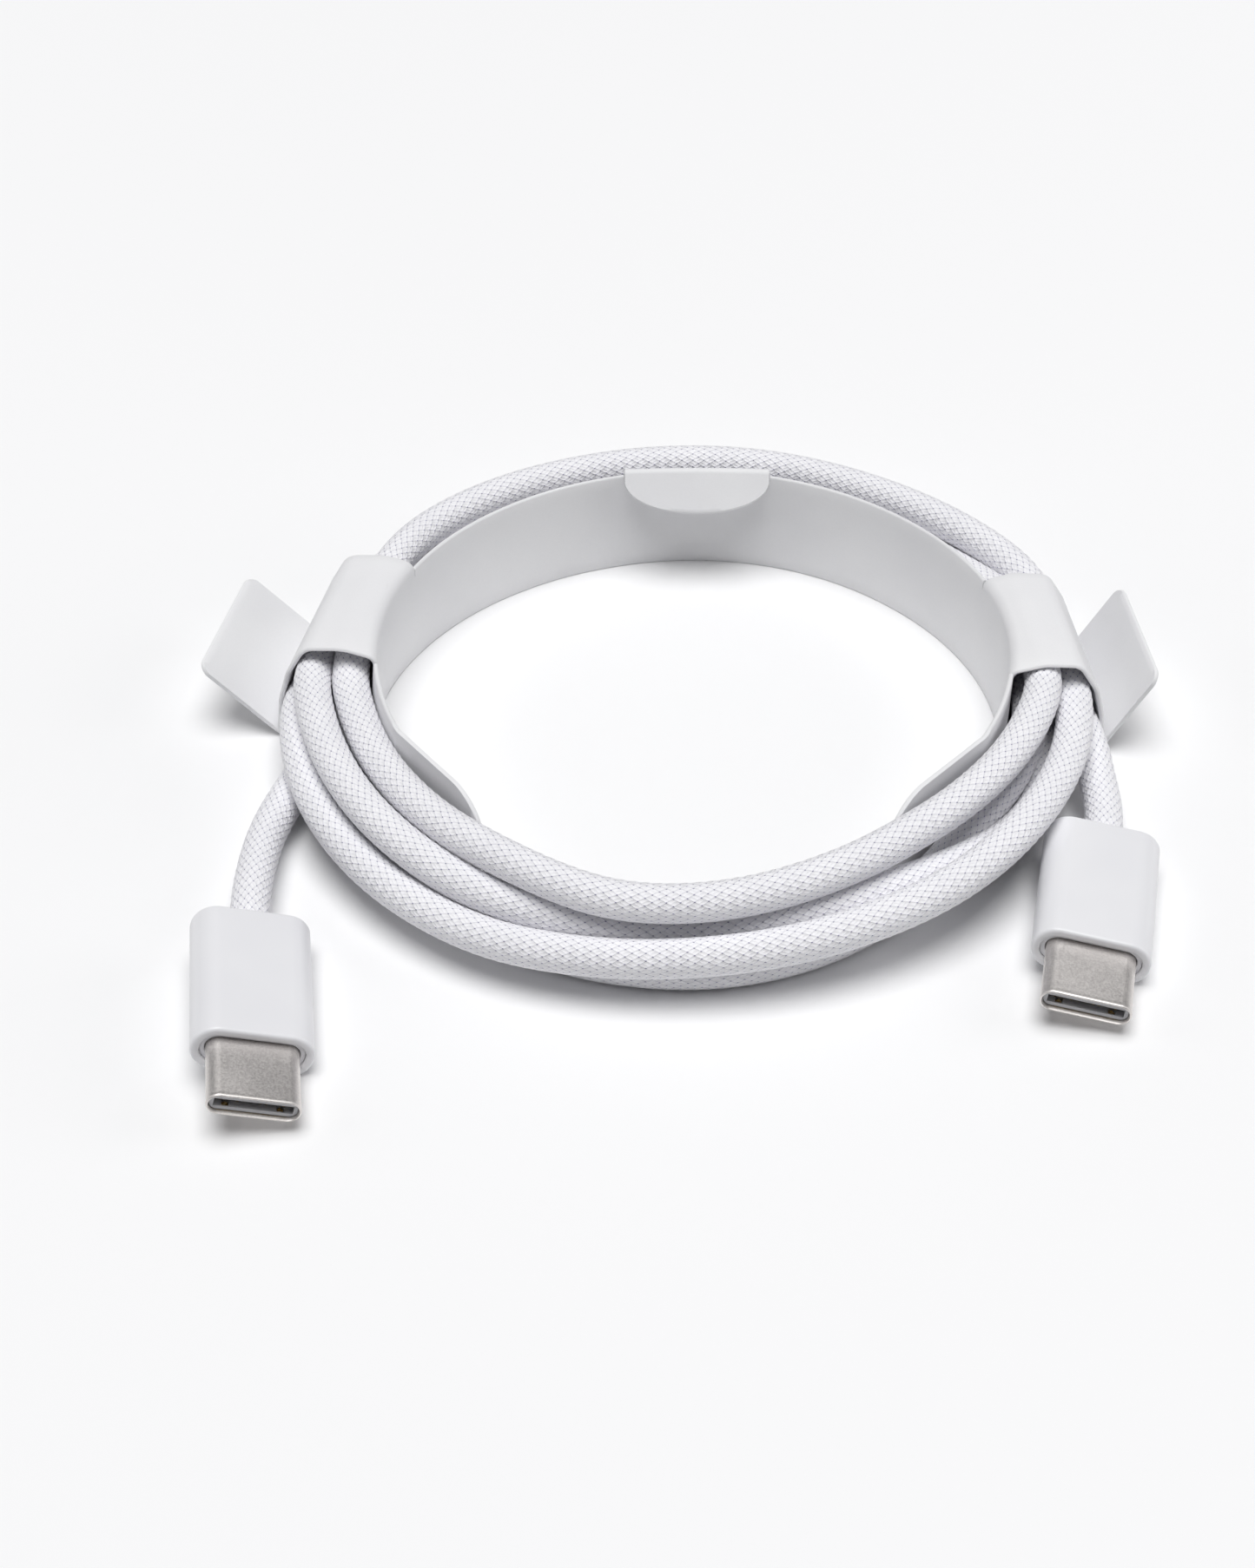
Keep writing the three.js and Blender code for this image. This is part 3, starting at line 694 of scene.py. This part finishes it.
MATERIALS = {
    "braid": braid_material(),
    "card": card_material(),
    "white_plastic": plastic_material(
        "satin_white_plastic", rgb(0.83, 0.83, 0.85), rgb(0.80, 0.80, 0.825), 0.34, 4200, 0.000006),
    "bezel_plastic": plastic_material(
        "bezel_plastic", rgb(0.84, 0.84, 0.86), rgb(0.80, 0.80, 0.83), 0.42, 5200, 0.000008),
    "plug_steel": metal_material(
        "satin_steel", rgb(0.84, 0.81, 0.785), rgb(0.74, 0.71, 0.69), 0.5, 5200, 0.000006),
    # The record's slot name says black, but the carriers look grey in the photo.
    "black_plastic": plastic_material(
        "carrier_plastic", rgb(0.5, 0.5, 0.515), rgb(0.43, 0.43, 0.445), 0.45, 3600, 0.000006),
    "gold_plate": metal_material(
        "gold_plate", rgb(1.0, 0.8, 0.42), rgb(0.95, 0.7, 0.32), 0.44, 3000, 0.000003),
    "spring_steel": metal_material(
        "stamped_steel", rgb(0.72, 0.72, 0.73), rgb(0.6, 0.6, 0.61), 0.32, 2600, 0.000004, (1, 0.08, 1)),
    "board_green": board_material(),
    "copper": metal_material(
        "drawn_copper", rgb(0.82, 0.5, 0.33), rgb(0.72, 0.42, 0.27), 0.3, 2800, 0.000004, (1, 0.1, 1)),
    "relief_rubber": plastic_material(
        "relief_rubber", rgb(0.74, 0.74, 0.76), rgb(0.68, 0.68, 0.7), 0.62, 2600, 0.00001),
}

# ---- cable --------------------------------------------------------------------------------------


def carried_frames(line):
    """Tangent and two side directions at each point, turning as little as they can."""
    tangent = np.gradient(line, axis=0)
    tangent /= np.linalg.norm(tangent, axis=1)[:, None]
    side = np.cross(tangent[0], [0, 0, 1])
    sides = []
    for direction in tangent:
        side = side - direction * (side @ direction)
        side /= np.linalg.norm(side)
        sides.append(side)
    sides = np.array(sides)
    return sides, np.cross(tangent, sides)


def make_cable():
    """The whole cable as one tube. Its points lie on the braid's diamonds, so that the yarns'
    crowns and the pinholes between them are in the mesh."""
    smooth_line = curve_through(smoothed(route, 2), BRAID_PITCH / 4)
    first, second = carried_frames(smooth_line)
    rings, around = len(smooth_line), 2 * BRAID_COUNT
    # k counts the rings, four to a diamond, and m the points round a ring, two to a diamond.
    k, m = np.meshgrid(np.arange(rings), np.arange(around), indexing="ij")
    u, v = k / 4, m / 2
    in_s, in_t = (u + v) % 1, (u - v) % 1
    edge_s, edge_t = np.minimum(in_s, 1 - in_s), np.minimum(in_t, 1 - in_t)
    crown = np.sin(np.pi * in_s) * np.sin(np.pi * in_t)
    hole = (edge_s < 0.1) & (edge_t < 0.1)
    radius = CABLE_D / 2 - CROWN_HEIGHT / 2 + CROWN_HEIGHT * crown - PINHOLE_DEPTH * hole
    angle = 2 * np.pi * m / around
    points = (smooth_line[:, None]
              + first[:, None] * (radius * np.cos(angle))[:, :, None]
              + second[:, None] * (radius * np.sin(angle))[:, :, None]).reshape(-1, 3)
    faces = grid_faces(rings, around, closed=True)
    corner_u = np.stack([u, u, u + 0.25, u + 0.25], 2)[:-1]
    corner_v = np.stack([v, v + 0.5, v + 0.5, v], 2)[:-1]
    uv = np.stack([corner_u, corner_v], 3).reshape(-1, 2)
    last = (rings - 1) * around
    faces.append(tuple(range(around)))
    faces.append(tuple(last + j for j in reversed(range(around))))
    uv = np.vstack([uv, np.zeros((2 * around, 2))])
    cable = new_object("braided_cable", points, faces, uv)
    cable.data.flip_normals()
    cable.data.materials.append(MATERIALS["braid"])
    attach(cable, ROOT)
    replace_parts(cable, "cable_coil", "left_cable_tail", "right_cable_tail")
    return cable


cable = make_cable()

# ---- card wrap ----------------------------------------------------------------------------------


def band_point(azimuth, z):
    """A point of the band's mid-surface."""
    return polar(float(band_radius(azimuth, z)), azimuth, z)


def band_beside(middle, offset, z):
    """The band seen from a cuff or tab's middle line: its azimuth and its distance straight out
    at an offset along the band."""
    azimuth = middle
    for _ in range(4):
        radius = float(band_radius(azimuth, z))
        azimuth = middle + math.degrees(math.asin(offset / radius))
    return azimuth, radius * math.cos(math.radians(azimuth - middle))


REAR_AZIMUTH = 90 - math.degrees(math.asin(REAR_TAB["middle"] / band_radius(90, SEAM_Z)))
FOLDS = [(c["azimuth"], c["width"]) for c in CUFFS.values()] + [(REAR_AZIMUTH, REAR_TAB["width"])]


def make_band():
    """The upright band. Its top edge is lower where a cuff or the rear tab folds out of it."""
    cuts = [(band_beside(at, -width / 2, SEAM_Z)[0], band_beside(at, width / 2, SEAM_Z)[0])
            for at, width in FOLDS]
    sliver = 0.03
    azimuths = [float(a) for a in np.arange(BAND_ENDS[0], BAND_ENDS[1] + 0.01, 1.0)]
    azimuths = [a for a in azimuths if min(abs(a - c) for cut in cuts for c in cut) > 0.3]
    azimuths += [c + step for cut in cuts for c in cut for step in (-sliver, sliver)]
    azimuths.sort()
    folded = np.array([any(low < a < high for low, high in cuts) for a in azimuths])
    levels = spread(0, 1, 9, 0.012)
    grid = np.zeros((len(levels), len(azimuths), 3))
    for j, azimuth in enumerate(azimuths):
        top = SEAM_Z if folded[j] else BAND_H
        for i, level in enumerate(levels):
            grid[i, j] = band_point(azimuth, level * top)
    band = card_piece("card_band", [card_parts(grid, ("left", "right"), folded)])
    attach(band, ROOT)
    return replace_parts(band, "inner_band")


def turned(grid, azimuth):
    """A grid of (outward, along, up) points turned to an azimuth."""
    a = math.radians(azimuth)
    out = grid.copy()
    out[..., 0] = grid[..., 0] * math.cos(a) - grid[..., 1] * math.sin(a)
    out[..., 1] = grid[..., 0] * math.sin(a) + grid[..., 1] * math.cos(a)
    return out


def tab_heading(side):
    """The pull tab's direction in the cuff's (outward, up) plane."""
    rise = math.radians(PULL_TABS[side]["rise"])
    return np.array([math.cos(rise), math.sin(rise)])


def make_cuff(side):
    """Card from the band's top over the turns and down outside them, and a strap below them
    that goes on into the pull tab."""
    cuff = CUFFS[side]
    azimuth, width = cuff["azimuth"], cuff["width"]
    across = spread(-width / 2, width / 2, 15)
    columns = []
    for y in across:
        seam = band_beside(azimuth, y, SEAM_Z)[1]
        fold = band_beside(azimuth, y, cuff["fold"][0])[1]
        columns.append(with_edge_rows(cuff_path(side, seam, fold), first=False))
    over = np.zeros((len(columns[0]), len(across), 3))
    for j, y in enumerate(across):
        over[:, j, 0], over[:, j, 1], over[:, j, 2] = columns[j][:, 0], y, columns[j][:, 1]
    corner, bend = cuff["under"]
    end = np.array(TAB_CREASE) - BEND_HALF * tab_heading(side)
    path = rounded_path([STRAP_FROM, (corner, STRAP_FROM[1]), end], [bend])
    path = with_edge_rows(path, last=False)
    under = np.zeros((len(path), len(across), 3))
    under[:, :, 0] = path[:, 0][:, None]
    under[:, :, 1] = across[None]
    under[:, :, 2] = path[:, 1][:, None]
    piece = card_piece(f"{side}_card_cuff", [
        card_parts(turned(over, azimuth), ("first",)),
        card_parts(turned(under, azimuth), ("last",)),
    ])
    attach(piece, ROOT)
    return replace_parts(piece, f"{side}_cuff")


def arc_stations(half_width, corner, count=5):
    """Stations across a sheet whose two outer corners are round, close together there."""
    flat = half_width - corner
    bend = [flat + corner * math.sin(k / 8 * math.pi / 2) for k in range(1, 9)]
    middle = list(np.linspace(-flat, flat, count))
    return np.array([-b for b in reversed(bend)] + middle + bend)


def make_pull_tab(side):
    """The tab that flares up from the cuff's foot, straight from a little before its crease."""
    azimuth, width = CUFFS[side]["azimuth"], CUFFS[side]["width"]
    heading = tab_heading(side)
    corner, length = PULL_TABS[side]["corner"], PULL_TABS[side]["length"]
    across = arc_stations(width / 2, corner)
    outside = np.clip(np.abs(across) - (width / 2 - corner), 0, corner)
    reach = length - corner + np.sqrt(np.maximum(corner ** 2 - outside ** 2, 0))
    near = np.linspace(-BEND_HALF, BEND_HALF, 7)
    shares = spread(0, 1, 12, 0.01)[1:]
    grid = np.zeros((len(near) + len(shares), len(across), 3))
    for j, y in enumerate(across):
        at = np.concatenate([near, near[-1] + shares * (reach[j] - near[-1])])
        column = np.array(TAB_CREASE) + np.outer(at, heading)
        grid[:, j, 0], grid[:, j, 1], grid[:, j, 2] = column[:, 0], y, column[:, 1]
    tab = card_piece(f"{side}_card_pull_tab", [card_parts(turned(grid, azimuth), ("first",))])
    start = np.array(TAB_CREASE) - BLEND_HALF * heading
    end = np.array(TAB_CREASE) + BLEND_HALF * heading
    start, end = mm(polar(start[0], azimuth, start[1])), mm(polar(end[0], azimuth, end[1]))
    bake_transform(tab)
    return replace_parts(tab, f"{side}_pull_tab")


def make_tongue(side):
    """The band's end, turned inwards, with a half-round tip. It bends at its crease."""
    at = BAND_ENDS[1] if side == "left" else BAND_ENDS[0]
    sign = 1 if side == "left" else -1
    foot, top, length = TONGUE["foot"], TONGUE["top"], TONGUE["length"]
    end_r = (top - foot) / 2
    angles = np.linspace(-math.pi / 2, math.pi / 2, 27)
    levels = foot + end_r + end_r * np.sin(angles)
    reach = length - end_r + end_r * np.cos(angles)
    bend = np.linspace(0, TONGUE["bend"], 8)
    heading = math.radians(at + sign * 90)
    turn = math.radians(sign * TONGUE_TURN[side])
    shares = spread(0, 1, 14, 0.008)[1:]
    grid = np.zeros((len(bend) + len(shares), len(levels), 3))
    for j, level in enumerate(levels):
        whole = BAND_H * (level - foot) / (top - foot)
        place = np.array(band_point(at, whole))
        grid[0, j] = place
        for i in range(1, len(bend)):
            angle = heading + turn * (i - 0.5) / (len(bend) - 1)
            step = bend[i] - bend[i - 1]
            place = place + (step * math.cos(angle), step * math.sin(angle), 0)
            grid[i, j] = place
            grid[i, j, 2] = whole + (level - whole) * i / (len(bend) - 1)
        ahead = np.array([math.cos(heading + turn), math.sin(heading + turn), 0])
        for i, share in enumerate(shares):
            grid[len(bend) + i, j] = grid[len(bend) - 1, j] + ahead * share * (reach[j] - bend[-1])
    tongue = card_piece(f"{side}_card_tongue", [card_parts(grid, ("first",))])
    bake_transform(tongue)
    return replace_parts(tongue, f"{side}_band_tongue")


def make_rear_tab():
    """The small half oval that folds over the band's top edge and leans into the coil."""
    width, length = REAR_TAB["width"], REAR_TAB["length"]
    lean = math.radians(REAR_TAB["from_vertical"])
    turn_r = 0.36
    across = np.sin(np.linspace(-math.pi / 2, math.pi / 2, 41)) * width / 2
    share_across = np.abs(across) / (width / 2)
    reach = length * (0.15 + 0.85 * np.sqrt(np.maximum(1 - share_across ** 2, 0)))
    bend_z = REAR_TAB["z"] - turn_r - CARD_T / 2
    turns = np.linspace(0, math.pi - lean, 12)[1:]
    down = np.array([-math.sin(lean), -math.cos(lean)])
    shares = spread(0, 1, 10, 0.02)[1:]
    columns = []
    for j, x in enumerate(across):
        seam = band_beside(90, -x - REAR_TAB["middle"], SEAM_Z)[1]
        fold = REAR_TAB["y"] + 0.25 * (1 - share_across[j] ** 2)
        up = np.linspace((seam, SEAM_Z), (fold, bend_z), 6)
        arc = up[-1] + turn_r * np.stack([np.cos(turns) - 1, np.sin(turns)], 1)
        columns.append(np.vstack([up, arc, arc[-1] + np.outer(shares * reach[j], down)]))
    grid = np.zeros((len(columns[0]), len(across), 3))
    for j, x in enumerate(across):
        grid[:, j, 0], grid[:, j, 1], grid[:, j, 2] = x, columns[j][:, 0], columns[j][:, 1]
    grid[..., 0] += REAR_TAB["middle"]
    tab = card_piece("rear_card_tab", [card_parts(grid, ("first",))])
    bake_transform(tab)
    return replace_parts(tab, "rear_tab")


make_band()
for side in CUFFS:
    make_cuff(side)
    make_pull_tab(side)
    make_tongue(side)
make_rear_tab()

# ---- plugs --------------------------------------------------------------------------------------


def plug_points(side, points):
    """Points in the plug's own frame, lip at y = 0 and cable towards +Y, as coil points."""
    place = PLUGS[side]
    roll, yaw = math.radians(place["roll"]), math.radians(place["yaw"])
    x, y, z = np.asarray(points, float).reshape(-1, 3).T
    across = x * math.cos(roll) + z * math.sin(roll)
    up = -x * math.sin(roll) + z * math.cos(roll)
    out = np.stack([
        across * math.cos(yaw) - y * math.sin(yaw),
        across * math.sin(yaw) + y * math.cos(yaw),
        up,
    ], 1)
    return out + np.array(place["lip"])


def oval_ring(width, height, corner, y, count=96):
    """A rectangle with round corners in the XZ plane, close points on the corners."""
    ring = []
    for k in range(count):
        angle = (k + 0.5) / count * 2 * math.pi
        x = math.copysign(width / 2 - corner, math.cos(angle)) + corner * math.cos(angle)
        z = math.copysign(height / 2 - corner, math.sin(angle)) + corner * math.sin(angle)
        ring.append((x, y, z))
    return ring


def hollow_piece(name, side, rings, slot):
    """A sleeve skinned over rings that go out along its outside and back along its inside."""
    count = len(rings[0])
    points = plug_points(side, [p for ring in rings for p in ring])
    faces = grid_faces(len(rings), count, closed=True)
    last = (len(rings) - 1) * count
    for j in range(count):
        k = (j + 1) % count
        faces.append((last + j, last + k, k, j))
    obj = face_outwards(new_object(name, points, faces), sharp=35)
    obj.data.materials.append(MATERIALS[slot])
    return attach(obj, ROOT)


def quarter(start, end, count=5):
    """Pairs that go round a quarter circle from (inset start, y start) to (inset end, y end)."""
    (d0, y0), (d1, y1) = start, end
    steps = [k / count * math.pi / 2 for k in range(count + 1)]
    return [(d0 + (d1 - d0) * (1 - math.cos(a)), y0 + (y1 - y0) * math.sin(a)) for a in steps]


def make_housing(side):
    """White casing with soft edges, a thin front rim and a round cable hole."""
    width, height = HOUSING["width"], HOUSING["height"]
    front, rear, wall = HOUSING["front"], HOUSING["rear"], HOUSING["wall"]
    corner = height / 2 - 0.15
    front_round, rear_round = 0.34, 0.5

    def ring(inset, y):
        return oval_ring(width - 2 * inset, height - 2 * inset, corner - inset, y)

    def hole(diameter, y):
        return oval_ring(diameter, diameter, diameter / 2 - 0.001, y)

    rings = [ring(wall - 0.08, front + 0.02), ring(wall - 0.12, front), ring(front_round, front)]
    edge = quarter((0.0, front + front_round), (front_round, front))
    rings += [ring(d, y) for d, y in reversed(edge)]
    for k in range(1, 8):
        y = front + front_round + (rear - front - front_round - rear_round) * k / 8
        rings.append(ring(0.0, y))
    rings += [ring(d, y) for d, y in quarter((0.0, rear - rear_round), (rear_round, rear), 8)]
    rings += [hole(CABLE_HOLE_D + 0.25, rear), hole(CABLE_HOLE_D, rear - 0.12)]
    rings += [hole(CABLE_HOLE_D, rear - HOUSING["rear_wall"])]
    rings += [ring(wall, rear - HOUSING["rear_wall"]), ring(wall, front + 0.1)]
    piece = hollow_piece(f"{side}_casing", side, rings, "white_plastic")
    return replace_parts(piece, f"{side}_plug_housing")


def make_bezel(side):
    """The ring that closes the casing's front round the steel shell."""
    wall, clearance = HOUSING["wall"], BEZEL["clearance"]
    width = HOUSING["width"] - 2 * wall - 0.04
    height = HOUSING["height"] - 2 * wall - 0.04
    inner_w, inner_h = SHELL["width"] + 2 * clearance, SHELL["height"] + 2 * clearance

    def outer(inset, y):
        return oval_ring(width - 2 * inset, height - 2 * inset, 1.55 - inset, y)

    def inner(swell, y):
        return oval_ring(inner_w + 2 * swell, inner_h + 2 * swell, inner_h / 2 + swell - 0.001, y)

    front, rear = BEZEL["front"], BEZEL["rear"]
    rings = [inner(0.0, rear), inner(0.0, front + 0.12), inner(0.04, front + 0.03), inner(0.1, front)]
    rings += [outer(0.08, front), outer(0.02, front + 0.03), outer(0.0, front + 0.1), outer(0.0, rear)]
    piece = hollow_piece(f"{side}_front_bezel", side, rings, "bezel_plastic")
    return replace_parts(piece, f"{side}_plug_bezel")


def make_shell(side):
    """Deep-drawn steel shell with a rolled lip that stands slightly proud."""
    width, height, wall = SHELL["width"], SHELL["height"], SHELL["wall"]

    def ring(inset, y):
        return oval_ring(width - 2 * inset, height - 2 * inset, height / 2 - inset - 0.001, y)

    profile = [(wall, SHELL["length"]), (wall, 0.6), (wall - 0.01, 0.24), (wall - 0.04, 0.1)]
    profile += [(0.17, 0.02), (0.125, 0.0), (0.08, 0.02), (0.03, 0.07), (0.0, 0.16), (0.0, 0.3)]
    profile += [(0.02, 0.42), (0.025, 0.6)]
    profile += [(0.025, 0.6 + (SHELL["length"] - 0.6) * k / 6) for k in range(1, 7)]
    piece = hollow_piece(f"{side}_steel_shell", side, [ring(d, y) for d, y in profile], "plug_steel")
    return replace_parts(piece, f"{side}_plug_shell")


SLOT_OF = {s["node"]: s["material_slot"] for s in frame["record"]["subparts"]}
for side in PLUGS:
    make_housing(side)
    make_bezel(side)
    make_shell(side)
for name, node in frame["nodes"].items():
    if not node.hide_render:
        node.data.materials.clear()
        node.data.materials.append(MATERIALS[SLOT_OF[name]])

RIGHT_PLUG_PIECES = ["right_casing", "right_front_bezel", "right_steel_shell"]
RIGHT_PLUG_PIECES += [n for n, o in frame["nodes"].items() if n.startswith("right_") and not o.hide_render]

# ---- floor, light -------------------------------------------------------------------------------


def make_floor():
    size = 12
    mesh = bpy.data.meshes.new("floor")
    corners = [(-size, -size, 0), (size, -size, 0), (size, size, 0), (-size, size, 0)]
    mesh.from_pydata(corners, [], [(0, 1, 2, 3)])
    floor = bpy.data.objects.new("floor", mesh)
    bpy.context.scene.collection.objects.link(floor)
    n = Nodes("pale_floor")
    cloud = n.noise(n.where(), 3, 2)
    colour = n.mix(cloud, rgb(0.9, 0.9, 0.905), rgb(0.93, 0.93, 0.935))
    mesh.materials.append(n.finish(colour, 0.85, Specular_IOR_Level=0.1))


def area_light(name, at, towards, size, watts):
    data = bpy.data.lights.new(name, "AREA")
    data.shape = "DISK"
    data.size = size
    data.energy = watts
    light = bpy.data.objects.new(name, data)
    bpy.context.scene.collection.objects.link(light)
    light.location = at
    light.rotation_euler = (Vector(towards) - Vector(at)).to_track_quat("-Z", "Y").to_euler()


def soft_sun(name, at, spread_degrees, strength):
    """A wide, even light from one direction, like a big softbox that reaches the whole floor."""
    data = bpy.data.lights.new(name, "SUN")
    data.angle = math.radians(spread_degrees)
    data.energy = strength
    light = bpy.data.objects.new(name, data)
    bpy.context.scene.collection.objects.link(light)
    light.location = at
    light.rotation_euler = Vector(at).to_track_quat("Z", "Y").to_euler()


make_floor()
soft_sun("overhead", (0, -0.04, 0.8), 44, 2.75)
area_light("left_side", (-0.8, 0, 0.35), (0, 0, 0), 0.5, 0.9)
area_light("right_side", (0.8, 0, 0.35), (0, 0, 0), 0.5, 1.3)

world = bpy.data.worlds.new("studio")
world.use_nodes = True
world.node_tree.nodes["Background"].inputs[0].default_value = (0.93, 0.94, 1.0, 1)
world.node_tree.nodes["Background"].inputs[1].default_value = 0.05
bpy.context.scene.world = world
bpy.context.scene.view_settings.view_transform = "Standard"
